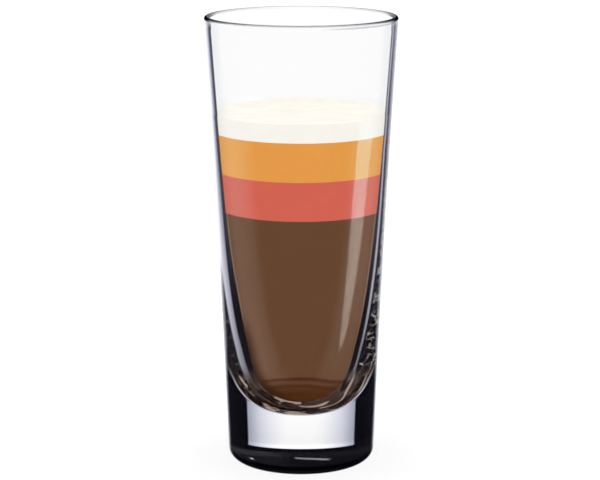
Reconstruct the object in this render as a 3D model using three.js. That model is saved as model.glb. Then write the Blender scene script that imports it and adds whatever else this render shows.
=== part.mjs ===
// A tall, heavy-based clear tumbler filled with a layered coffee drink.
// Millimetres, +Z up; the origin is the middle of the ring that the glass stands on.
import * as THREE from "three";

// Driving dimensions of the glass
const HEIGHT = 155;
const FOOT_RADIUS = 25.25; // where the side would meet the table without its rounded corner
const RIM_RADIUS = 32.95; // outer radius at the rim
const STRAIGHT_SHARE = 0.72; // share of the flare that is straight; the rest opens towards the rim
const RIM_WALL = 1.92; // wall thickness at the rim, which is a full round
const FOOT_CORNER = 3.8; // radius between the side and the standing ring
const RING_WIDTH = 4.5; // flat ring that touches the table
const PUNT_DEPTH = 0.9; // hollow under the foot, inside the ring

// Driving dimensions of the cavity: its floor, its shoulder and how flat or steep it runs there
const FLOOR_HEIGHT = 18.1;
const FLOOR_REACH = 14.9; // how far the floor keeps flat before it bends up
const SHOULDER_HEIGHT = 42;
const SHOULDER_RADIUS = 20.05;
const SHOULDER_SLOPE = 0.21; // radius gained for each millimetre of height
const SHOULDER_PULL_DOWN = 15; // height below the shoulder that keeps its slope
const SHOULDER_PULL_UP = 26.7; // height above it
const WALL_SLOPE = 0.074; // slope of the inner wall at the rim
const WALL_PULL = 46.7; // height below the rim that keeps this slope

// Driving dimensions of the drink: the height of each layer's top above the table
const COFFEE_TOP = 89.4;
const CORAL_TOP = 102.7;
const ORANGE_TOP = 116;
const CREAM_TOP = 121.5;
const MENISCUS_RISE = 0.8; // how far the cream climbs the glass
const MENISCUS_WIDTH = 2.6;
const GAP = 0.3; // clearance between neighbouring solids

// Resolution of the turned surfaces
const SIDES = 72;
const FLARE_STEPS = 6;
const ARC_STEPS = 6;
const PUNT_STEPS = 3;
const BOWL_STEPS = 12;
const WALL_STEPS = 12;
const MENISCUS_STEPS = 3;

// Outer radius of the side at a height: mostly straight, opening a little more towards the rim.
function sideRadius(height) {
  const t = height / HEIGHT;
  const flare = STRAIGHT_SHARE * t + (1 - STRAIGHT_SHARE) * t * t;
  return FOOT_RADIUS + (RIM_RADIUS - FOOT_RADIUS) * flare;
}

// Points of a circular arc round a centre, from one angle to another, both ends included.
function arc(centreRadius, centreHeight, radius, from, to, steps) {
  return Array.from({ length: steps + 1 }, (_, i) => {
    const angle = from + ((to - from) * i) / steps;
    return new THREE.Vector2(
      centreRadius + radius * Math.cos(angle),
      centreHeight + radius * Math.sin(angle),
    );
  });
}

// The cavity's profile as two smooth curves that meet at the shoulder: the bowl and the wall.
function cavityCurves() {
  const floor = new THREE.Vector2(0, FLOOR_HEIGHT);
  const shoulder = new THREE.Vector2(SHOULDER_RADIUS, SHOULDER_HEIGHT);
  const rim = new THREE.Vector2(RIM_RADIUS - RIM_WALL, HEIGHT);
  const pulled = (point, height, slope) =>
    new THREE.Vector2(point.x + height * slope, point.y + height);
  const bowl = new THREE.CubicBezierCurve(
    floor,
    new THREE.Vector2(FLOOR_REACH, FLOOR_HEIGHT),
    pulled(shoulder, -SHOULDER_PULL_DOWN, SHOULDER_SLOPE),
    shoulder,
  );
  const wall = new THREE.CubicBezierCurve(
    shoulder,
    pulled(shoulder, SHOULDER_PULL_UP, SHOULDER_SLOPE),
    pulled(rim, -WALL_PULL, WALL_SLOPE),
    rim,
  );
  return [
    [bowl, BOWL_STEPS],
    [wall, WALL_STEPS],
  ];
}

// Points of the cavity's profile from its floor up, moved inwards by a clearance.
function cavityProfile(clearance) {
  const points = cavityCurves().flatMap(([curve, steps], part) =>
    Array.from({ length: steps + 1 }, (_, i) => {
      const along = curve.getTangent(i / steps);
      const inwards = new THREE.Vector2(-along.y, along.x);
      return curve.getPoint(i / steps).addScaledVector(inwards, clearance);
    }).slice(part),
  );
  points[0].x = 0;
  return points;
}

// Radius of a profile at a height, between its points.
function radiusAt(profile, height) {
  const above = profile.findIndex((point) => point.y >= height);
  const low = profile[above - 1];
  const high = profile[above];
  return THREE.MathUtils.mapLinear(height, low.y, high.y, low.x, high.x);
}

// A solid turned about the Z axis from a profile of radius and height that starts and ends on it.
function turned(profile) {
  const geometry = new THREE.LatheGeometry(profile, SIDES);
  geometry.rotateX(Math.PI / 2);
  return geometry;
}

// The tumbler: foot with its punt, flared side, round rim and the cavity inside.
function glassGeometry() {
  const cornerHeight = FOOT_CORNER;
  const cornerCentre = sideRadius(cornerHeight) - FOOT_CORNER;
  const ringInner = cornerCentre - RING_WIDTH;
  const punt = Array.from({ length: PUNT_STEPS }, (_, i) => {
    const t = i / PUNT_STEPS;
    return new THREE.Vector2(ringInner * t, PUNT_DEPTH * (1 - t * t));
  });
  const corner = arc(cornerCentre, cornerHeight, FOOT_CORNER, -Math.PI / 2, 0, ARC_STEPS);
  const rimRound = RIM_WALL / 2;
  const rimHeight = HEIGHT - rimRound;
  const side = Array.from({ length: FLARE_STEPS - 1 }, (_, i) => {
    const height = cornerHeight + ((rimHeight - cornerHeight) * (i + 1)) / FLARE_STEPS;
    return new THREE.Vector2(sideRadius(height), height);
  });
  const rim = arc(sideRadius(rimHeight) - rimRound, rimHeight, rimRound, 0, Math.PI, ARC_STEPS);
  const cavity = cavityProfile(0).filter((point) => point.y < rimHeight);
  return turned([
    ...punt,
    new THREE.Vector2(ringInner, 0),
    ...corner,
    ...side,
    ...rim,
    ...cavity.reverse(),
  ]);
}

// One layer of the drink between two heights, clear of the cavity's wall.
function layerProfile(bottom, top) {
  const wall = cavityProfile(GAP);
  const between = wall.filter((point) => point.y > bottom && point.y < top);
  const start =
    bottom > wall[0].y
      ? [new THREE.Vector2(0, bottom), new THREE.Vector2(radiusAt(wall, bottom), bottom)]
      : [wall[0]];
  return [...start, ...between, new THREE.Vector2(radiusAt(wall, top), top)];
}

// The flat top of a layer, from the wall to the axis.
function flatTop(top) {
  return [new THREE.Vector2(0, top)];
}

// The top of the cream: a meniscus that falls away from the glass to the level surface.
function meniscusTop(top) {
  const edge = radiusAt(cavityProfile(GAP), top + MENISCUS_RISE);
  const slope = Array.from({ length: MENISCUS_STEPS }, (_, i) => {
    const t = (i + 1) / MENISCUS_STEPS;
    const rise = MENISCUS_RISE * (1 - t) * (1 - t);
    return new THREE.Vector2(edge - MENISCUS_WIDTH * t, top + rise);
  });
  return [...slope, new THREE.Vector2(0, top)];
}

function coffeeGeometry() {
  return turned([...layerProfile(0, COFFEE_TOP - GAP / 2), ...flatTop(COFFEE_TOP - GAP / 2)]);
}

function coralGeometry() {
  const top = CORAL_TOP - GAP / 2;
  return turned([...layerProfile(COFFEE_TOP + GAP / 2, top), ...flatTop(top)]);
}

function orangeGeometry() {
  const top = ORANGE_TOP - GAP / 2;
  return turned([...layerProfile(CORAL_TOP + GAP / 2, top), ...flatTop(top)]);
}

function creamGeometry() {
  const edge = CREAM_TOP + MENISCUS_RISE;
  return turned([...layerProfile(ORANGE_TOP + GAP / 2, edge), ...meniscusTop(CREAM_TOP)]);
}

function mesh(name, geometry, material) {
  const made = new THREE.Mesh(geometry, new THREE.MeshStandardMaterial(material));
  made.name = name;
  return made;
}

const drink = new THREE.Group();
drink.add(
  mesh("glass", glassGeometry(), {
    color: 0xf1f4f8,
    roughness: 0.02,
    metalness: 0,
    transparent: true,
    opacity: 0.3,
  }),
  mesh("coffee_layer", coffeeGeometry(), { color: 0x694732, roughness: 0.15, metalness: 0 }),
  mesh("coral_layer", coralGeometry(), { color: 0xd16553, roughness: 0.15, metalness: 0 }),
  mesh("orange_layer", orangeGeometry(), { color: 0xe59d4c, roughness: 0.15, metalness: 0 }),
  mesh("cream_layer", creamGeometry(), { color: 0xf8f6ee, roughness: 0.3, metalness: 0 }),
);

export default drink;
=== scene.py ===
"""A layered coffee drink in its tall, heavy-based tumbler: finishes, light and camera, in metres."""
import math

import bpy
from mathutils import Matrix, Vector, noise


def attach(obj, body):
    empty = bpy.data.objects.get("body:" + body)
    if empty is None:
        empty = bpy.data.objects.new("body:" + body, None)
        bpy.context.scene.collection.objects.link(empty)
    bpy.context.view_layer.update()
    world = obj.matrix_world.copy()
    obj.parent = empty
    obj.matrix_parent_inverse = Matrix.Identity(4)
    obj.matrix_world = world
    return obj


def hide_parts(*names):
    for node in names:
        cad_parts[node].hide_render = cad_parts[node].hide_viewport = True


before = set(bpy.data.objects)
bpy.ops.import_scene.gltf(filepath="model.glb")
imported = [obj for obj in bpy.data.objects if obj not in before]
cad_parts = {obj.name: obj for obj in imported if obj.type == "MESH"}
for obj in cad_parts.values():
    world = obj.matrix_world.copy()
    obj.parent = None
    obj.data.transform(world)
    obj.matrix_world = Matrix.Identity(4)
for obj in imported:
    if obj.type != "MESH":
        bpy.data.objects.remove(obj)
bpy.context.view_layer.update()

MM = 0.001

# Glass: the sizes of its solid
HEIGHT = 155 * MM
FOOT_RADIUS = 25.25 * MM
RIM_RADIUS = 32.95 * MM
STRAIGHT_SHARE = 0.72
RIM_WALL = 1.92 * MM
FOOT_CORNER = 3.8 * MM
RING_WIDTH = 4.5 * MM
PUNT_DEPTH = 0.9 * MM
FLOOR_HEIGHT = 18.1 * MM
FLOOR_REACH = 14.9 * MM
SHOULDER_HEIGHT = 42 * MM
SHOULDER_RADIUS = 20.05 * MM
SHOULDER_SLOPE = 0.21
SHOULDER_PULL_DOWN = 15 * MM
SHOULDER_PULL_UP = 26.7 * MM
WALL_SLOPE = 0.074
WALL_PULL = 46.7 * MM

# Drink: the sizes of its solids, and how far a layer reaches into the glass and into the layer below
COFFEE_TOP = 89.4 * MM
CORAL_TOP = 102.7 * MM
ORANGE_TOP = 116 * MM
CREAM_TOP = 121.5 * MM
MENISCUS_RISE = 0.8 * MM
MENISCUS_WIDTH = 2.6 * MM
WALL_REACH = 0.2 * MM
LAYER_REACH = 0.25 * MM
LAYER_INSET = 0.35 * MM  # how far its lower edge is drawn in, to stay inside the layer below

# Relief of the cream's top, made of broad and small waves
RIPPLE_DEPTH = 0.25 * MM
RIPPLE_RADIUS = 24 * MM
RIPPLE_FADE = 0.25  # share of the radius over which it fades out at the glass
BROAD_WAVES = 180  # in a metre
SMALL_WAVES = 420
SMALL_SHARE = 0.5
WAVE_LIMIT = 1.2  # what the sum of both stays within

# Resolution of the turned meshes
SIDES = 256
CAVITY_STEPS = 64
SIDE_STEPS = 48
ARC_STEPS = 24
MENISCUS_STEPS = 12
TOP_RINGS = 36
SHARP_ANGLE = math.radians(35)
TINY = 1e-9
LEVEL_TOLERANCE = 0.001 * MM  # for telling which points lie on the cream's level surface
UPWARDS = 0.05  # upward share of a face's normal from which it belongs to the cream's top

# Optics; a slant is the sine of the angle between a ray and a surface's normal
GLASS_IOR = 1.52
MIRROR_FROM = 0.651  # slant at which the wall starts to mirror and to hide the drink
MIRROR_WHOLE = 0.659  # slant from which it mirrors everything
VIEW_SLOPE = math.radians(10.25)  # slope of a view from a little above, at which the window looks right
PATTERN_START = 43.8  # where in the noise the patterns in the glass are taken from

# The drink as the glass shows it: how much of its painted sheen on the sides, of the strip light's glint,
# # of the painted shade low on the left and of the painted pale line at its edge is mixed in, and how
# # its edge runs, by the slant of the view
SHEEN_SHARE = 0.2
GLINT_SHARE = 0.019
GLINT_ROUGHNESS = 0.09
SHADE_SHARE = 0.8
EDGE_DRAWN_IN = 0.013
LINE_SLANT = MIRROR_FROM - 0.004
LINE_WIDTH = 0.008
LINE_SHARE = 0.08

# Painted glints on the glass's underside: a slanting streak that fades at both ends, and a dot
STREAK_SLOPE = 0.55
STREAK_PLACE = 5.9 * MM
STREAK_WIDTH = 3.0 * MM
STREAK_LEFT = (-1.6 * MM, -0.6 * MM)
STREAK_RIGHT = (6.6 * MM, 5.2 * MM)
STREAK_STRENGTH = 0.25
DOT_PLACE = (-11.0 * MM, 2.0 * MM)
DOT_REACH = (0.5 * MM, 2.0 * MM)
DOT_STRENGTH = 0.8

# Zones: the heights between which one look turns into another, and the left into the right half
BOWL_TO_WALL = (29 * MM, 37 * MM)
BASE_TO_WALL = (42 * MM, 60 * MM)
LEFT_TO_RIGHT = (-8 * MM, 8 * MM)

# Floor, light and camera
FLOOR_SIZE = 12.0
FLOOR_GAP = 0.02 * MM  # keeps the floor clear of the foot's ring
FLOOR_COLOUR = (0.95, 0.95, 0.95)
STUDIO_STRENGTH = 1.2
STRIP_SIZE = (30 * MM, 270 * MM)
STRIP_BRIGHTNESS = 11.4  # of its surface, whatever its size
STRIP_PLACE = Vector((85.6 * MM, -29.2 * MM, 137.5 * MM))
STRIP_DIRECTION = Vector((0.0695, 0.1436, 0.9890))
CAMERA_DISTANCE = 750 * MM
CAMERA_ELEVATION = math.radians(11.98)
LENS_MM = 130.3
SENSOR_MM = 36
FRAME_WIDTH_PIXELS = 600
SHIFT_X_PIXELS = -1.2
SHIFT_Y_PIXELS = -0.25
CLEAR_BOUNCES = 24
GLOSSY_BOUNCES = 16

# Colours of the glass, linear: painted reflections, and painted light and shade on what it lets through;
# the painted black is how thick glass looks where it shows nothing bright
WHITE = (1.0, 1.0, 1.0)
BLACK = (0.0028, 0.0026, 0.0042)
# Painted reflection in the cavity's wall, and painted shade where a ray leaves near its mirror
WALL_DEEP = (0.009, 0.007, 0.010)
WALL_MIDDLE = (0.057, 0.056, 0.075)
WALL_HIGH = (0.086, 0.093, 0.130)
WALL_STREAK = (0.92, 0.91, 1.06)
WALL_SPARKLE_REFLECTION = (0.30, 0.32, 0.31)
WALL_CRACKLE_REFLECTION = (0.40, 0.37, 0.32)
WALL_AT_RIM = (0.55, 0.55, 0.58)
WALL_EDGE_SHADE = (0.88, 0.89, 0.93)
# Painted reflection in the bowl: dark and brown tones, pale glints and a bright edge
BOWL_DARK = (0.010, 0.005, 0.004)
BOWL_BROWN = (0.058, 0.036, 0.029)
BOWL_GLINT = (0.40, 0.32, 0.27)
BOWL_EDGE = (0.95, 0.95, 1.06)
# Painted light, shade and reflection of the side and of the rim
SIDE_TINT = (0.875, 0.875, 0.879)
SIDE_UNDER_RIM = (0.58, 0.58, 0.61)
SIDE_SHEEN = (0.02, 0.02, 0.035)
SIDE_OUTLINE = (0.84, 0.85, 0.94)
RIM_TINT = (0.97, 0.97, 0.98)
RIM_SHEEN = (0.70, 0.70, 0.73)
RIM_INSIDE = (0.6, 0.6, 0.62)
RIM_INNER_EDGE = (0.22, 0.22, 0.24)

# The base's pale window, painted light and shade by the slant at which its light leaves the glass:
# white in the middle, grey at its sides and black past them
WINDOW = [
    (0.17, (1.0, 1.0, 1.0)),
    (0.28, (0.95, 0.95, 0.98)),
    (0.40, (0.84, 0.85, 0.91)),
    (0.538, (0.67, 0.68, 0.77)),
    (0.662, (0.43, 0.45, 0.54)),
    (0.703, (0.36, 0.38, 0.45)),
    (0.717, BLACK),
]

# The rim's round, painted light and shade by the slant of the view, on its inner and on its outer half
INNER_ROUND = [
    (0.0, (0.95, 0.95, 0.97)),
    (0.64, (0.88, 0.88, 0.90)),
    (0.78, (0.75, 0.75, 0.77)),
    (0.90, (0.60, 0.60, 0.62)),
    (0.96, (0.36, 0.36, 0.37)),
    (0.985, (0.14, 0.14, 0.15)),
    (1.0, BLACK),
]
OUTER_ROUND = [
    (0.0, (0.80, 0.80, 0.83)),
    (0.40, (0.78, 0.78, 0.81)),
    (0.60, (0.62, 0.62, 0.65)),
    (0.78, (0.46, 0.46, 0.48)),
    (0.88, (0.24, 0.24, 0.25)),
    (0.93, (0.09, 0.09, 0.10)),
    (0.975, BLACK),
]


def side_radius(height):
    """Outer radius of the glass at a height."""
    t = height / HEIGHT
    flare = STRAIGHT_SHARE * t + (1 - STRAIGHT_SHARE) * t * t
    return FOOT_RADIUS + (RIM_RADIUS - FOOT_RADIUS) * flare


SIDE_LEAN = STRAIGHT_SHARE * (RIM_RADIUS - FOOT_RADIUS) / HEIGHT
RING_OUTER = side_radius(FOOT_CORNER) - FOOT_CORNER
RING_INNER = RING_OUTER - RING_WIDTH


def arc(centre_radius, centre_height, radius, start, end, steps):
    """Points of a circular arc, both ends included."""
    angles = [start + (end - start) * i / steps for i in range(steps + 1)]
    return [(centre_radius + radius * math.cos(a), centre_height + radius * math.sin(a)) for a in angles]


def bezier(points, t):
    """Point of a cubic curve, t running from 0 to 1 along it."""
    weights = ((1 - t) ** 3, 3 * (1 - t) ** 2 * t, 3 * (1 - t) * t * t, t ** 3)
    return tuple(sum(w * p[k] for w, p in zip(weights, points)) for k in (0, 1))


def bezier_slope(points, t):
    """Direction of the same curve at t."""
    weights = ((1 - t) ** 2, 2 * (1 - t) * t, t * t)
    steps = [(b[0] - a[0], b[1] - a[1]) for a, b in zip(points, points[1:])]
    return tuple(sum(w * s[k] for w, s in zip(weights, steps)) for k in (0, 1))


def cavity_curves():
    """The bowl from the axis to the shoulder, and the wall from there to the rim."""
    rim = RIM_RADIUS - RIM_WALL
    shoulder = (SHOULDER_RADIUS, SHOULDER_HEIGHT)
    bowl = [
        (0, FLOOR_HEIGHT),
        (FLOOR_REACH, FLOOR_HEIGHT),
        (SHOULDER_RADIUS - SHOULDER_PULL_DOWN * SHOULDER_SLOPE, SHOULDER_HEIGHT - SHOULDER_PULL_DOWN),
        shoulder,
    ]
    wall = [
        shoulder,
        (SHOULDER_RADIUS + SHOULDER_PULL_UP * SHOULDER_SLOPE, SHOULDER_HEIGHT + SHOULDER_PULL_UP),
        (rim - WALL_PULL * WALL_SLOPE, HEIGHT - WALL_PULL),
        (rim, HEIGHT),
    ]
    return bowl, wall


def cavity_profile(outwards=0.0):
    """Points of the cavity's profile from its floor up, moved into the glass by a distance."""
    points = []
    for curve in cavity_curves():
        for i in range(1 if points else 0, CAVITY_STEPS + 1):
            r, z = bezier(curve, i / CAVITY_STEPS)
            dr, dz = bezier_slope(curve, i / CAVITY_STEPS)
            length = math.hypot(dr, dz)
            points.append((max(0.0, r + outwards * dz / length), z - outwards * dr / length))
    points[0] = (0.0, points[0][1])
    return points


def radius_at(profile, height):
    """Radius of a profile at a height, between its points."""
    for (r0, z0), (r1, z1) in zip(profile, profile[1:]):
        if z0 <= height <= z1:
            return r0 + (r1 - r0) * (height - z0) / (z1 - z0)
    return profile[-1][0]


def glass_profile():
    """The tumbler's profile: its punt, ring, rounded corner, side and rim, then the cavity down to
    the axis."""
    rim_round = RIM_WALL / 2
    rim_height = HEIGHT - rim_round
    rise = (rim_height - FOOT_CORNER) / SIDE_STEPS
    heights = [FOOT_CORNER + rise * i for i in range(1, SIDE_STEPS)]
    shares = [i / ARC_STEPS for i in range(ARC_STEPS)]
    points = [(RING_INNER * t, PUNT_DEPTH * (1 - t * t)) for t in shares]
    points.append((RING_INNER, 0.0))
    points += arc(RING_OUTER, FOOT_CORNER, FOOT_CORNER, -math.pi / 2, 0, ARC_STEPS)
    points += [(side_radius(z), z) for z in heights]
    points += arc(side_radius(rim_height) - rim_round, rim_height, rim_round, 0, math.pi, ARC_STEPS)
    points += [p for p in reversed(cavity_profile()) if p[1] < rim_height]
    return points


def layer_profile(bottom, top):
    """A layer's profile from the axis under it, or from the cavity's floor, to its upper edge."""
    wall = cavity_profile(WALL_REACH)
    if bottom < wall[0][1]:
        points = [wall[0]]
    else:
        points = [(0.0, bottom), (radius_at(wall, bottom) - LAYER_INSET, bottom)]
        points.append((radius_at(wall, bottom + LAYER_REACH), bottom + LAYER_REACH))
    points += [p for p in wall if points[-1][1] < p[1] < top]
    points.append((radius_at(wall, top), top))
    return points


def flat_layer_profile(bottom, top):
    """The profile of a layer with a flat top."""
    return layer_profile(bottom, top) + [(0.0, top)]


def meniscus_profile():
    """The cream's top, from the glass down to the level surface and on to the axis."""
    edge = radius_at(cavity_profile(WALL_REACH), CREAM_TOP + MENISCUS_RISE)
    level = edge - MENISCUS_WIDTH
    points = []
    for i in range(1, MENISCUS_STEPS + 1):
        t = i / MENISCUS_STEPS
        points.append((edge - MENISCUS_WIDTH * t, CREAM_TOP + MENISCUS_RISE * (1 - t) ** 2))
    points += [(level * (1 - i / TOP_RINGS), CREAM_TOP) for i in range(1, TOP_RINGS)]
    points.append((0.0, CREAM_TOP))
    return points


def ripple(x, y):
    """Height of the cream's soft relief: nought at the glass and below nought elsewhere."""
    reach = max(0.0, 1 - math.hypot(x, y) / RIPPLE_RADIUS)
    broad = noise.noise(Vector((x, y, 0.0)) * BROAD_WAVES)
    small = noise.noise(Vector((x, y, 1.0)) * SMALL_WAVES)
    waves = broad + SMALL_SHARE * small
    return RIPPLE_DEPTH * min(1.0, reach / RIPPLE_FADE) * (waves - WAVE_LIMIT) / (2 * WAVE_LIMIT)


def turned(name, profile):
    """A mesh turned about the Z axis from a profile that starts and ends on the axis."""
    vertices = []
    faces = []
    rings = []
    for radius, z in profile:
        count = 1 if radius < TINY else SIDES
        rings.append((len(vertices), count))
        for k in range(count):
            angle = 2 * math.pi * k / SIDES
            vertices.append((radius * math.cos(angle), radius * math.sin(angle), z))
    for (a, a_count), (b, b_count) in zip(rings, rings[1:]):
        for k in range(SIDES):
            n = (k + 1) % SIDES
            if a_count == 1:
                faces.append((a, b + n, b + k))
            elif b_count == 1:
                faces.append((a + k, a + n, b))
            else:
                faces.append((a + k, a + n, b + n, b + k))
    mesh = bpy.data.meshes.new(name)
    mesh.from_pydata(vertices, [], faces)
    mesh.shade_smooth()
    mesh.set_sharp_from_angle(angle=SHARP_ANGLE)
    piece = bpy.data.objects.new(name, mesh)
    bpy.context.scene.collection.objects.link(piece)
    return piece


def srgb(red, green, blue):
    """Linear colour from 0 to 255 display values."""
    def linear(value):
        value /= 255
        return value / 12.92 if value <= 0.04045 else ((value + 0.055) / 1.055) ** 2.4
    return linear(red), linear(green), linear(blue)


# Colours of the drink: of each layer, of the painted sheen on its sides and of the strip light's glint on
# it
COFFEE = srgb(97, 66, 45)
COFFEE_SHEEN = (0.28, 0.17, 0.12)
COFFEE_GLINT = (0.82, 0.78, 0.70)
CORAL = srgb(200, 94, 78)
CORAL_SHEEN = (0.70, 0.32, 0.28)
CORAL_GLINT = (0.46, 0.92, 0.92)
ORANGE = srgb(217, 148, 70)
ORANGE_SHEEN = (0.94, 0.62, 0.30)
ORANGE_GLINT = (0.20, 0.77, 0.79)
CREAM = srgb(236, 233, 225)
CREAM_SHEEN = (1.0, 1.0, 0.98)
CREAM_GLINT = (0.2, 0.2, 0.25)
CREAM_TOP_DARK = srgb(231, 226, 212)
CREAM_TOP_LIGHT = srgb(243, 239, 229)
# Painted shade for the drink, low on its left
DRINK_SHADE = (0.030, 0.012, 0.006)

# The coffee's bottom: its colours, and the faint rings in it
DREGS_DARK = srgb(70, 37, 13)
DREGS_LOW = srgb(77, 43, 16)
DREGS_HIGH = srgb(91, 58, 42)
RING_ARCH = 18.0  # metres that a ring sinks at one metre to the side, growing with the square of it
RING_WAVER = 3 * MM
RING_TURNS = 2167.0  # radians in a metre of height: a ring every 2.9 mm
RING_START = 0.8
DREGS_END = (33.6 * MM, 34.9 * MM)


class Shading:
    """A material's node tree, with short calls for the nodes used here."""

    def __init__(self, name):
        self.material = bpy.data.materials.new(name)
        self.material.use_nodes = True
        self.tree = self.material.node_tree
        self.tree.nodes.clear()
        self.cache = {}

    def add(self, kind, **inputs):
        """A node with its inputs set by name, an underscore standing for a space."""
        made = self.tree.nodes.new("ShaderNode" + kind)
        for name, value in inputs.items():
            self.put(value, made.inputs[name.replace("_", " ")])
        return made

    def put(self, value, socket):
        """Sets an input, or links it to an output."""
        if isinstance(value, bpy.types.NodeSocket):
            self.tree.links.new(value, socket)
        elif isinstance(value, tuple) and socket.type == "RGBA":
            socket.default_value = (*value, 1)
        else:
            socket.default_value = value

    def maths(self, operation, a, b=0.0, clamp=False):
        made = self.add("Math")
        made.operation = operation
        made.use_clamp = clamp
        self.put(a, made.inputs[0])
        self.put(b, made.inputs[1])
        return made.outputs[0]

    def plus(self, a, b):
        return self.maths("ADD", a, b)

    def minus(self, a, b):
        return self.maths("SUBTRACT", a, b)

    def times(self, first, *others):
        """Product of two or more values."""
        product = first
        for other in others:
            product = self.maths("MULTIPLY", product, other)
        return product

    def complement(self, value):
        """Root of one minus the square: the cosine from the sine, or the sine from the cosine."""
        rest = self.maths("SUBTRACT", 1.0, self.times(value, value), clamp=True)
        return self.maths("SQRT", rest)

    def line(self, value, low, high, start=0.0, stop=1.0):
        """Value mapped in a straight line, held at both ends."""
        made = self.add("MapRange", Value=value, From_Min=low, From_Max=high, To_Min=start, To_Max=stop)
        return made.outputs[0]

    def ease(self, value, low, high, start=0.0, stop=1.0):
        """Value mapped along an S-shaped curve, held at both ends."""
        made = self.add("MapRange", Value=value, From_Min=low, From_Max=high, To_Min=start, To_Max=stop)
        made.interpolation_type = "SMOOTHSTEP"
        return made.outputs[0]

    def bump_at(self, value, centre, width):
        """1 where the value is at the centre, easing to 0 at a distance of width."""
        return self.ease(self.maths("ABSOLUTE", self.minus(value, centre)), 0.0, width, 1.0, 0.0)

    def pick(self, amount, a, b):
        """Number between a and b."""
        made = self.add("Mix")
        made.data_type = "FLOAT"
        self.put(amount, made.inputs[0])
        self.put(a, made.inputs[2])
        self.put(b, made.inputs[3])
        return made.outputs[0]

    def blend(self, amount, a, b):
        """Colour between a and b."""
        made = self.add("Mix")
        made.data_type = "RGBA"
        self.put(amount, made.inputs[0])
        self.put(a, made.inputs[6])
        self.put(b, made.inputs[7])
        return made.outputs[2]

    def ramp(self, value, stops):
        """Colour along a list of (position, colour) stops."""
        made = self.add("ValToRGB", Fac=value)
        elements = made.color_ramp.elements
        while len(elements) < len(stops):
            elements.new(1.0)
        for element, (position, colour) in zip(elements, stops):
            element.position = position
            element.color = (*colour, 1)
        return made.outputs[0]

    def once(self, name, make):
        """The same socket each time it is asked for."""
        if name not in self.cache:
            self.cache[name] = make()
        return self.cache[name]

    def place(self):
        """The surface point in the piece's own coordinates, in metres."""
        return self.once("place", lambda: self.add("TexCoord").outputs["Object"])

    def across(self, axis):
        """One coordinate of the surface point, in metres."""
        split = self.once("split", lambda: self.add("SeparateXYZ", Vector=self.place()))
        return split.outputs[axis]

    def height(self):
        return self.across("Z")

    def right(self):
        """0 on the left half, 1 on the right half, easing between them."""
        return self.once("right", lambda: self.ease(self.across("X"), *LEFT_TO_RIGHT))

    def inside(self):
        """1 where the ray meets the surface from within the glass."""
        return self.once("inside", lambda: self.add("NewGeometry").outputs["Backfacing"])

    def slant(self):
        """Sine of the angle between the ray and the surface's normal."""
        def make():
            facing = self.add("LayerWeight", Blend=0.5).outputs["Facing"]
            return self.complement(self.minus(1.0, facing))
        return self.once("slant", make)

    def noise(self, scale, detail=2.0, distortion=0.0, vector=None):
        made = self.add("TexNoise", Scale=scale, Detail=detail, Distortion=distortion)
        self.put(vector or self.place(), made.inputs["Vector"])
        return made.outputs["Fac"]

    def cells(self, vector):
        """Distance to the edges of a net of cells."""
        made = self.add("TexVoronoi", Vector=vector, Scale=1.0)
        made.feature = "DISTANCE_TO_EDGE"
        return made.outputs["Distance"]

    def shader(self, kind, **inputs):
        return self.add(kind, **inputs).outputs[0]

    def mixed(self, amount, a, b):
        """Shader between a and b."""
        made = self.add("MixShader")
        self.put(amount, made.inputs[0])
        self.put(a, made.inputs[1])
        self.put(b, made.inputs[2])
        return made.outputs[0]

    def finish(self, shader):
        """The material, with this shader as its surface."""
        out = self.add("OutputMaterial")
        self.tree.links.new(shader, out.inputs[0])
        return self.material


def drawn_out(shade, along, across, level=0.0):
    """Coordinates laid out by direction and by the slant of the view, so that a pattern runs beside
    the drink as things seen in thick glass do."""
    spread = shade.add("CombineXYZ")
    rising = shade.times(shade.height(), level)
    shade.put(shade.times(shade.across("X"), along), spread.inputs[0])
    shade.put(shade.plus(shade.times(shade.across("Y"), along), rising), spread.inputs[1])
    shade.put(shade.plus(shade.times(shade.slant(), across), PATTERN_START), spread.inputs[2])
    return spread.outputs[0]


def drawn_noise(shade, along, across, distortion):
    return shade.noise(1.0, distortion=distortion, vector=drawn_out(shade, along, across))


def wall_dark(shade):
    """The painted dark zones of the wall's reflection beside the drink, which pale towards the rim."""
    z = shade.height()
    middle = 105 * MM
    lower = shade.blend(shade.line(z, 58 * MM, middle), WALL_DEEP, WALL_MIDDLE)
    return shade.blend(shade.line(z, middle, 140 * MM), lower, WALL_HIGH)


def left_streak_end(shade):
    """Slant at which the left streak ends low in the wall."""
    return shade.line(shade.height(), 38 * MM, 70 * MM, 0.778, 0.745)


def left_streak(shade):
    """How pale the painted reflection streak on the left is: from a clear inner edge it pales outwards,
    the faster the higher, and low in the wall it has an outer edge too."""
    z = shade.height()
    s = shade.slant()
    rise = shade.maths("POWER", shade.line(z, 30 * MM, 110 * MM), 1.6)
    steepness = shade.line(rise, 0.0, 1.0, 3.0, 30.0)
    start = shade.line(z, 95 * MM, 135 * MM, 0.672, 0.666)
    gradient = shade.maths("MULTIPLY", shade.minus(s, start), steepness, clamp=True)
    inner_edge = shade.line(z, 48 * MM, 95 * MM, 0.715, 0.674)
    begun = shade.ease(shade.minus(s, inner_edge), -0.006, 0.005)
    ended = shade.ease(shade.minus(s, left_streak_end(shade)), -0.008, 0.008)
    low = shade.ease(z, 60 * MM, 76 * MM, 1.0, 0.0)
    return shade.times(gradient, begun, shade.minus(1.0, shade.times(ended, low)))


def right_streak_middle(shade):
    """Slant at the middle of the right streak."""
    return shade.line(shade.height(), 43 * MM, 110 * MM, 0.713, 0.669)


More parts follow.
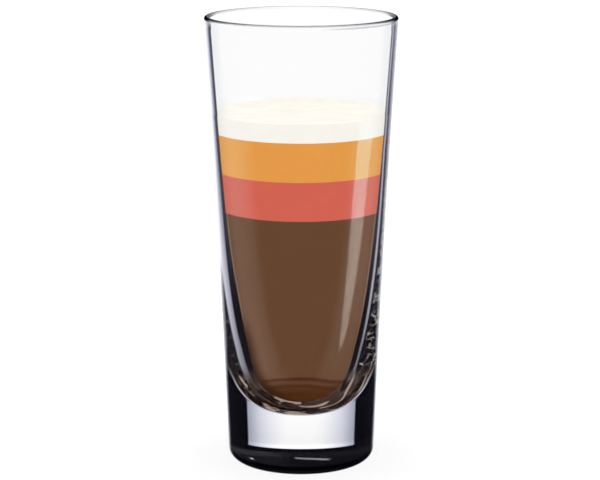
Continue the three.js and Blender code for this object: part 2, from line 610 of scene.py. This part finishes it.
def right_streak(shade):
    """How pale the painted reflection streak on the right is: narrow, and fading to both sides and at its
    foot.
    """
    z = shade.height()
    offset = shade.maths("ABSOLUTE", shade.minus(shade.slant(), right_streak_middle(shade)))
    width = shade.line(z, 60 * MM, 110 * MM, 0.018, 0.010)
    peak = shade.line(z, 40 * MM, 62 * MM, 0.20, 0.44)
    return shade.times(shade.ease(shade.maths("DIVIDE", offset, width), 0.0, 1.0, 1.0, 0.0), peak)


def beside_streak(shade):
    """1 in the outer part of the wall, past the streak."""
    right_end = shade.plus(right_streak_middle(shade), 0.02)
    end = shade.pick(shade.right(), left_streak_end(shade), right_end)
    return shade.ease(shade.minus(shade.slant(), end), 0.0, 0.02)


def crackle_reflection(shade):
    """Painted reflection of pale crackle low in the wall, the edges of a bent net of cells: lit in
    patches, weaker on the left, and reaching higher on the right."""
    right = shade.right()
    net = drawn_out(shade, along=60.0, across=10.0, level=380.0)
    wander = shade.add("TexNoise", Vector=net, Scale=1.3, Detail=1.0).outputs["Color"]
    bent = shade.add("VectorMath")
    shade.put(net, bent.inputs[0])
    shade.put(wander, bent.inputs[1])
    edges = shade.ease(shade.cells(bent.outputs[0]), 0.010, 0.070, 1.0, 0.0)
    patches = shade.ease(shade.noise(0.9, vector=net), 0.42, 0.62, 0.08, 1.0)
    lit = shade.times(patches, shade.pick(right, 0.22, 1.0))
    gone = shade.pick(right, 76 * MM, 100 * MM)
    fading = shade.pick(right, 60 * MM, 84 * MM)
    low = shade.ease(shade.height(), gone, fading)
    return shade.times(edges, lit, beside_streak(shade), low)


def sparkle_reflection(shade):
    """Painted reflection of fine sparkle over most of the right wall's height."""
    z = shade.height()
    fine = drawn_out(shade, along=60.0, across=12.0, level=1000.0)
    grains = shade.ease(shade.noise(1.0, detail=1.0, vector=fine), 0.47, 0.62)
    upper = shade.times(shade.ease(z, 50 * MM, 66 * MM), shade.ease(z, 128 * MM, 112 * MM))
    return shade.times(grains, shade.right(), beside_streak(shade), upper)


def wall_reflection(shade):
    """Painted reflection: a pale streak between dark zones, narrower on the right, with crackle and
    sparkle beside it.
    """
    streak = shade.pick(shade.right(), left_streak(shade), right_streak(shade))
    wall = shade.blend(streak, wall_dark(shade), WALL_STREAK)
    wall = shade.blend(sparkle_reflection(shade), wall, WALL_SPARKLE_REFLECTION)
    return shade.blend(crackle_reflection(shade), wall, WALL_CRACKLE_REFLECTION)


def bowl_reflection(shade):
    """Painted reflection in the bowl: dark brown with pale glints drawn out along it, a thin bright
    edge, and black beyond it.
    """
    z = shade.height()
    tone = shade.ease(drawn_noise(shade, along=60.0, across=6.0, distortion=1.2), 0.40, 0.60)
    dull = shade.blend(tone, BOWL_DARK, BOWL_BROWN)
    glint_blots = shade.ease(drawn_noise(shade, along=85.0, across=7.5, distortion=1.6), 0.58, 0.63)
    glint_lines = shade.bump_at(drawn_noise(shade, along=70.0, across=8.0, distortion=1.4), 0.46, 0.015)
    pale = shade.maths("MAXIMUM", shade.times(glint_blots, 0.9), shade.times(glint_lines, 0.35))
    bowl = shade.blend(pale, dull, BOWL_GLINT)
    knee = 24.5 * MM
    below_knee = shade.line(z, 20 * MM, knee, 0.992, 0.957)
    limit = shade.plus(below_knee, shade.line(z, knee, 29 * MM, 0.0, -0.023))
    beyond = shade.minus(shade.slant(), limit)
    strength = shade.ease(z, 34 * MM, 24 * MM, 0.12, 0.55)
    edged = shade.blend(shade.times(shade.ease(beyond, -0.022, -0.002), strength), bowl, BOWL_EDGE)
    dark = shade.times(shade.ease(beyond, 0.0, 0.012), shade.ease(z, 21.2 * MM, 22.7 * MM))
    return shade.blend(dark, edged, BLACK)


def inner_reflection(shade):
    """What the cavity's wall mirrors to a ray inside the glass: a painted reflection, as thick glass
    shows it in front of a bright background."""
    z = shade.height()
    bowl = shade.ease(z, *BOWL_TO_WALL, 1.0, 0.0)
    seen = shade.blend(bowl, wall_reflection(shade), bowl_reflection(shade))
    near_rim = shade.ease(z, HEIGHT - 3 * MM, HEIGHT - 1 * MM)
    return shade.blend(near_rim, seen, WALL_AT_RIM)


def clear_glass(name, passed, mirrored):
    """Clear glass from the colours of its refraction and its reflection, which hold its painted light,
    shade and reflections. Light that comes from a lamp or that leaves another surface goes straight
    through, so that the drink is lit as in thin glass."""
    shade = Shading(name)
    fresnel = shade.add("Fresnel", IOR=GLASS_IOR).outputs[0]
    through = shade.shader("BsdfRefraction", IOR=GLASS_IOR, Roughness=0.0, Color=passed(shade))
    mirror = shade.shader("BsdfGlossy", Roughness=0.0, Color=mirrored(shade))
    glass = shade.mixed(fresnel, through, mirror)
    path = shade.add("LightPath")
    straight = shade.maths("MAXIMUM", path.outputs["Is Shadow Ray"], path.outputs["Is Reflection Ray"])
    clear = shade.shader("BsdfTransparent", Color=WHITE)
    return shade.finish(shade.mixed(straight, glass, clear))


def level_slant(shade):
    """Sine of the level part of the angle between the ray and the side, as if the side ran straight
    down past its rounded corner at the foot. It is right only at the view slope named above."""
    tilt = shade.maths("MAXIMUM", shade.line(shade.height(), 0.0, FOOT_CORNER, 1.0, 0.0), SIDE_LEAN)
    just_over_one = 1.0001  # keeps the side's upright share above nought
    upright = shade.maths("SQRT", shade.minus(just_over_one, shade.times(tilt, tilt)))
    cosine = shade.complement(shade.slant())
    rest = shade.minus(cosine, shade.times(tilt, math.sin(VIEW_SLOPE)))
    level = shade.maths("DIVIDE", rest, shade.times(upright, math.cos(VIEW_SLOPE)))
    inset = RING_OUTER / (RING_OUTER + FOOT_CORNER)
    return shade.times(shade.complement(level), shade.line(upright, 0.0, 1.0, inset, 1.0))


def side_passed(shade):
    """Painted light and shade: from inside, the base's pale window between its dark sides; from
    outside, white but dark at the foot's corner, with a grey line under the rim on the right."""
    z = shade.height()
    window = shade.ramp(shade.times(level_slant(shade), GLASS_IOR), WINDOW)
    leaving = shade.blend(shade.ease(z, *BASE_TO_WALL), window, SIDE_TINT)
    above_corner = shade.ease(z, FOOT_CORNER - 0.6 * MM, FOOT_CORNER + 0.4 * MM)
    right = shade.ease(shade.across("X"), 4 * MM, 18 * MM)
    under_rim = shade.times(shade.bump_at(z, HEIGHT - 1.25 * MM, 0.5 * MM), right)
    entering = shade.blend(under_rim, shade.blend(above_corner, BLACK, WHITE), SIDE_UNDER_RIM)
    return shade.blend(shade.inside(), entering, leaving)


def side_mirrored(shade):
    """Painted reflection: outside, a pale line along the outline, thinner beside the base; inside,
    white above the base.
    """
    z = shade.height()
    thinner = shade.ease(z, 28 * MM, 45 * MM, 0.012, 0.0)
    grazing = shade.ease(shade.minus(shade.slant(), thinner), 0.957, 0.990)
    outside = shade.blend(grazing, SIDE_SHEEN, SIDE_OUTLINE)
    inside = shade.blend(shade.ease(z, *BASE_TO_WALL), BLACK, WHITE)
    return shade.blend(shade.inside(), outside, inside)


def cavity_passed(shade):
    """White, with painted shade where a ray leaves the glass close to the mirror's start."""
    leaving = shade.blend(shade.ease(shade.slant(), 0.58, 0.657), WHITE, WALL_EDGE_SHADE)
    return shade.blend(shade.inside(), WHITE, leaving)


def cavity_mirrored(shade):
    """White until the wall mirrors wholly; from there the painted reflection."""
    inner = shade.blend(shade.ease(shade.slant(), 0.652, 0.660), WHITE, inner_reflection(shade))
    return shade.blend(shade.inside(), WHITE, inner)


def outer_rim(shade):
    """1 on the outer half of the rim's round."""
    x = shade.across("X")
    y = shade.across("Y")
    radius = shade.maths("SQRT", shade.plus(shade.times(x, x), shade.times(y, y)))
    crest = RIM_RADIUS - RIM_WALL / 2
    return shade.ease(radius, crest - 0.1 * MM, crest + 0.1 * MM)


def rim_passed(shade):
    """Painted light and shade: a grey line along the top of the round, paler on its inner half, and
    black where it curves out of sight."""
    s = shade.slant()
    top = shade.ease(shade.height(), HEIGHT - 0.9 * MM, HEIGHT - 0.3 * MM)
    dark = shade.maths("MAXIMUM", top, shade.ease(s, 0.90, 0.97))
    line = shade.blend(outer_rim(shade), shade.ramp(s, INNER_ROUND), shade.ramp(s, OUTER_ROUND))
    return shade.blend(shade.inside(), shade.blend(dark, RIM_TINT, line), WHITE)


def rim_mirrored(shade):
    """A painted reflection: pale, and dark where it curves out of sight."""
    grazing = shade.blend(outer_rim(shade), RIM_INNER_EDGE, BLACK)
    outside = shade.blend(shade.ease(shade.slant(), 0.80, 0.97), RIM_SHEEN, grazing)
    return shade.blend(shade.inside(), outside, RIM_INSIDE)


def foot_passed(shade):
    """Painted shade, black all over: the underside of thick glass shows nothing bright to the side."""
    return BLACK


def foot_glints(shade):
    """The painted highlights: a bright streak right of the middle and a small dot on the left."""
    x = shade.across("X")
    y = shade.across("Y")
    slanting = shade.plus(y, shade.times(x, STREAK_SLOPE))
    ends = shade.times(shade.ease(x, *STREAK_LEFT), shade.ease(x, *STREAK_RIGHT))
    streak = shade.times(shade.bump_at(slanting, STREAK_PLACE, STREAK_WIDTH), ends, STREAK_STRENGTH)
    dot_x, dot_y = DOT_PLACE
    reach_x, reach_y = DOT_REACH
    dot = shade.times(shade.bump_at(x, dot_x, reach_x), shade.bump_at(y, dot_y, reach_y))
    return shade.plus(streak, shade.times(dot, DOT_STRENGTH))


def foot_mirrored(shade):
    """The base's underside as seen from inside through the side, a painted reflection: a little paler
    at the back and on the left, and uneven, with two painted glints."""
    left = shade.ease(shade.across("X"), -1.5 * MM, -5 * MM)
    front_tone = shade.pick(left, 0.002, 0.006)
    back_tone = shade.pick(left, 0.006, 0.022)
    tone = shade.pick(shade.ease(shade.across("Y"), 7 * MM, 12 * MM), front_tone, back_tone)
    uneven = shade.line(shade.noise(700.0, detail=4.0), 0.35, 0.7, 0.5, 1.5)
    pale = shade.plus(shade.times(tone, uneven), foot_glints(shade))
    return shade.blend(shade.inside(), BLACK, shade.blend(pale, BLACK, WHITE))


def liquid(shade, colour, sheen, glint):
    """Liquid behind the glass, with painted sheen that makes it paler towards its sides, and that
    mirrors the strip light there.
    """
    z = shade.height()
    s = shade.slant()
    body = shade.shader("BsdfPrincipled", Base_Color=colour(shade), Roughness=0.45, Specular_IOR_Level=0.0)
    # Painted sheen: a plain pale colour mixed in by the slant of the view
    pale = shade.shader("BsdfDiffuse", Color=sheen)
    sides = shade.times(shade.ease(s, 0.38, 0.585), shade.ease(s, 0.59, 0.655, 1.0, 0.4))
    above_bowl = shade.ease(z, 27 * MM, 38 * MM)
    strength = shade.pick(shade.right(), above_bowl, shade.ease(z, 35 * MM, 75 * MM, 0.15, 1.0))
    soft = shade.mixed(shade.times(sides, strength, SHEEN_SHARE), body, pale)
    gloss = shade.shader("BsdfGlossy", Roughness=GLINT_ROUGHNESS, Color=glint)
    turned_away = shade.ease(s, 0.40, 0.47)
    return shade.mixed(shade.times(turned_away, above_bowl, GLINT_SHARE), soft, gloss)


def drink(name, colour, sheen, glint, line=0.0):
    """An opaque liquid, hidden by the wall's painted reflection beyond the critical angle, with a
    thin painted highlight line where the mirror starts. Low on the left, painted shade darkens it
    softly towards that edge."""
    shade = Shading(name)
    z = shade.height()
    s = shade.slant()
    left = shade.ease(shade.across("X"), *LEFT_TO_RIGHT, 1.0, 0.0)
    drawn_in = shade.times(left, shade.bump_at(z, 56 * MM, 26 * MM), EDGE_DRAWN_IN)
    edge = shade.plus(s, drawn_in)
    body = liquid(shade, colour, sheen, glint)
    strength = shade.ease(z, 46 * MM, 60 * MM, 0.0, line)
    # Painted highlight: a thin pale line where the mirror starts
    line_amount = shade.times(shade.bump_at(edge, LINE_SLANT, LINE_WIDTH), strength)
    lined = shade.mixed(line_amount, body, shade.shader("BsdfDiffuse", Color=WHITE))
    # Painted shade, low on the left
    low_left = shade.times(left, shade.ease(z, 45 * MM, 58 * MM, 1.0, 0.0))
    shaded = shade.times(low_left, SHADE_SHARE, shade.ease(s, 0.54, 0.655))
    seen = shade.mixed(shaded, lined, shade.shader("BsdfDiffuse", Color=DRINK_SHADE))
    # Painted reflection of the wall beyond the critical angle
    mirror = shade.shader("BsdfGlossy", Roughness=0.0, Color=inner_reflection(shade))
    return shade.finish(shade.mixed(shade.ease(edge, MIRROR_FROM, MIRROR_WHOLE), seen, mirror))


def open_cream():
    """The cream's upper surface, seen through air: slow swirls and fine froth."""
    shade = Shading("cream_top")
    swirl = shade.noise(55.0, detail=5.0, distortion=3.0)
    froth = shade.noise(1400.0)
    amount = shade.plus(shade.times(swirl, 0.8), shade.times(froth, 0.2))
    colour = shade.blend(shade.line(amount, 0.32, 0.68), CREAM_TOP_DARK, CREAM_TOP_LIGHT)
    bump = shade.add("Bump", Strength=0.35, Distance=0.15 * MM, Height=froth)
    body = shade.shader(
        "BsdfPrincipled", Base_Color=colour, Roughness=0.4, Specular_IOR_Level=0.3, Normal=bump.outputs[0],
    )
    return shade.finish(body)


def mottled(shade, colour, share):
    """A colour with slow swirls and fine mottling that change it by a share."""
    swirl = shade.noise(70.0, detail=4.0, distortion=2.5)
    fine = shade.noise(900.0)
    amount = shade.plus(shade.times(swirl, 0.75), shade.times(fine, 0.25))
    dark = tuple(c * (1 - share) for c in colour)
    light = tuple(min(1.0, c * (1 + share)) for c in colour)
    return shade.blend(shade.line(amount, 0.3, 0.7), dark, light)


def coffee_colour(shade):
    """Milky brown, darker and redder at the bottom, with faint arched rings there."""
    z = shade.height()
    x = shade.across("X")
    arch = shade.plus(z, shade.times(x, x, RING_ARCH))
    wavy = shade.plus(arch, shade.times(shade.minus(shade.noise(90.0), 0.5), RING_WAVER))
    rings = shade.maths("SINE", shade.plus(shade.times(wavy, RING_TURNS), RING_START))
    light = shade.blend(shade.ease(z, 29 * MM, 32 * MM), DREGS_LOW, DREGS_HIGH)
    dregs = shade.blend(shade.line(rings, -1.0, 1.0), DREGS_DARK, light)
    bottom = shade.ease(wavy, *DREGS_END, 1.0, 0.0)
    return shade.blend(bottom, mottled(shade, COFFEE, 0.05), dregs)


def coral_colour(shade):
    return mottled(shade, CORAL, 0.035)


def orange_colour(shade):
    return mottled(shade, ORANGE, 0.035)


def cream_colour(shade):
    return mottled(shade, CREAM, 0.02)


def own(piece, node, slot, *materials):
    """Gives a piece its finish and puts it in the place of a CAD node."""
    for made in materials:
        piece.data.materials.append(made)
    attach(piece, "root")
    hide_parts(node)


def make_glass():
    """The tumbler, with a finish each for its side, its cavity, its rim and its underside."""
    glass = turned("tumbler", glass_profile())
    own(
        glass, "glass", "clear_glass",
        clear_glass("clear_side", side_passed, side_mirrored),
        clear_glass("clear_cavity", cavity_passed, cavity_mirrored),
        clear_glass("clear_rim", rim_passed, rim_mirrored),
        clear_glass("clear_foot", foot_passed, foot_mirrored),
    )
    side, cavity, rim, foot = range(4)
    for face in glass.data.polygons:
        radius = math.hypot(face.center.x, face.center.y)
        z = face.center.z
        if z > HEIGHT - RIM_WALL / 2:
            face.material_index = rim
        elif z < PUNT_DEPTH and radius < RING_OUTER:
            face.material_index = foot
        elif z > FLOOR_HEIGHT - MM and radius < side_radius(z) - MM:
            face.material_index = cavity
        else:
            face.material_index = side


def make_drink():
    """The three layers with flat tops, from the bottom up; each reaches into the one below."""
    coffee = turned("coffee", flat_layer_profile(0, COFFEE_TOP))
    finish = drink("coffee", coffee_colour, COFFEE_SHEEN, COFFEE_GLINT, line=LINE_SHARE)
    own(coffee, "coffee_layer", "coffee", finish)
    coral = turned("coral", flat_layer_profile(COFFEE_TOP - LAYER_REACH, CORAL_TOP))
    finish = drink("coral", coral_colour, CORAL_SHEEN, CORAL_GLINT)
    own(coral, "coral_layer", "coral_liqueur", finish)
    orange = turned("orange", flat_layer_profile(CORAL_TOP - LAYER_REACH, ORANGE_TOP))
    finish = drink("orange", orange_colour, ORANGE_SHEEN, ORANGE_GLINT)
    own(orange, "orange_layer", "orange_liqueur", finish)


def make_cream():
    """The cream with its meniscus, its soft relief and a finish of its own on the open top."""
    edge = CREAM_TOP + MENISCUS_RISE
    cream = turned("cream", layer_profile(ORANGE_TOP - LAYER_REACH, edge) + meniscus_profile())
    finish = drink("cream", cream_colour, CREAM_SHEEN, CREAM_GLINT)
    own(cream, "cream_layer", "cream", finish, open_cream())
    for vertex in cream.data.vertices:
        if abs(vertex.co.z - CREAM_TOP) < LEVEL_TOLERANCE:
            vertex.co.z += ripple(vertex.co.x, vertex.co.y)
    side, top = range(2)
    for face in cream.data.polygons:
        faces_up = face.normal.z > UPWARDS and face.center.z > ORANGE_TOP + MM
        face.material_index = top if faces_up else side


def make_floor():
    """A pale floor just under the glass."""
    half = FLOOR_SIZE / 2
    corners = [(-half, -half), (half, -half), (half, half), (-half, half)]
    mesh = bpy.data.meshes.new("floor")
    mesh.from_pydata([(x, y, -FLOOR_GAP) for x, y in corners], [], [(0, 1, 2, 3)])
    floor = bpy.data.objects.new("floor", mesh)
    bpy.context.scene.collection.objects.link(floor)
    paper = Shading("pale_floor")
    mesh.materials.append(paper.finish(paper.shader("BsdfDiffuse", Color=FLOOR_COLOUR)))


def make_studio():
    """Even, pale light from all sides."""
    world = bpy.data.worlds.new("studio")
    world.use_nodes = True
    background = world.node_tree.nodes["Background"]
    background.inputs["Color"].default_value = (1, 1, 1, 1)
    background.inputs["Strength"].default_value = STUDIO_STRENGTH
    bpy.context.scene.world = world


def make_strip():
    """A strip light close beside the glass, which makes the drink's one long highlight and lights
    nothing else."""
    width, length = STRIP_SIZE
    area = math.pi / 4 * width * length
    data = bpy.data.lights.new("strip", "AREA")
    data.shape = "ELLIPSE"
    data.size = width
    data.size_y = length
    data.energy = STRIP_BRIGHTNESS * math.pi * area
    strip = bpy.data.objects.new("strip", data)
    bpy.context.scene.collection.objects.link(strip)
    up = STRIP_DIRECTION.normalized()
    back = Vector((STRIP_PLACE.x, STRIP_PLACE.y, 0.0))
    back = (back - up * back.dot(up)).normalized()
    turn = Matrix((up.cross(back), up, back)).transposed()
    strip.matrix_world = Matrix.Translation(STRIP_PLACE) @ turn.to_4x4()
    strip.visible_camera = False
    strip.visible_diffuse = False
    strip.visible_transmission = False
    only_drink = bpy.data.collections.new("lit_by_strip")
    for name in ("coffee", "coral", "orange", "cream"):
        only_drink.objects.link(bpy.data.objects[name])
    strip.light_linking.receiver_collection = only_drink


def make_camera():
    """The view of the photograph: from the front and a little above, aimed at the glass's middle."""
    target = Vector((0, 0, HEIGHT / 2))
    towards = Vector((0, -math.cos(CAMERA_ELEVATION), math.sin(CAMERA_ELEVATION)))
    camera = bpy.data.objects.new("camera", bpy.data.cameras.new("camera"))
    bpy.context.scene.collection.objects.link(camera)
    camera.location = target + towards * CAMERA_DISTANCE
    camera.rotation_euler = (math.pi / 2 - CAMERA_ELEVATION, 0, 0)
    camera.data.sensor_width = SENSOR_MM
    camera.data.lens = LENS_MM
    camera.data.shift_x = SHIFT_X_PIXELS / FRAME_WIDTH_PIXELS
    camera.data.shift_y = SHIFT_Y_PIXELS / FRAME_WIDTH_PIXELS
    bpy.context.scene.camera = camera


def set_light_paths():
    """Enough bounces for many clear surfaces behind each other, and plain display colours."""
    scene = bpy.context.scene
    scene.view_settings.view_transform = "Standard"
    scene.cycles.max_bounces = CLEAR_BOUNCES
    scene.cycles.transmission_bounces = CLEAR_BOUNCES
    scene.cycles.glossy_bounces = GLOSSY_BOUNCES


make_glass()
make_drink()
make_cream()
make_floor()
make_studio()
make_strip()
make_camera()
set_light_paths()
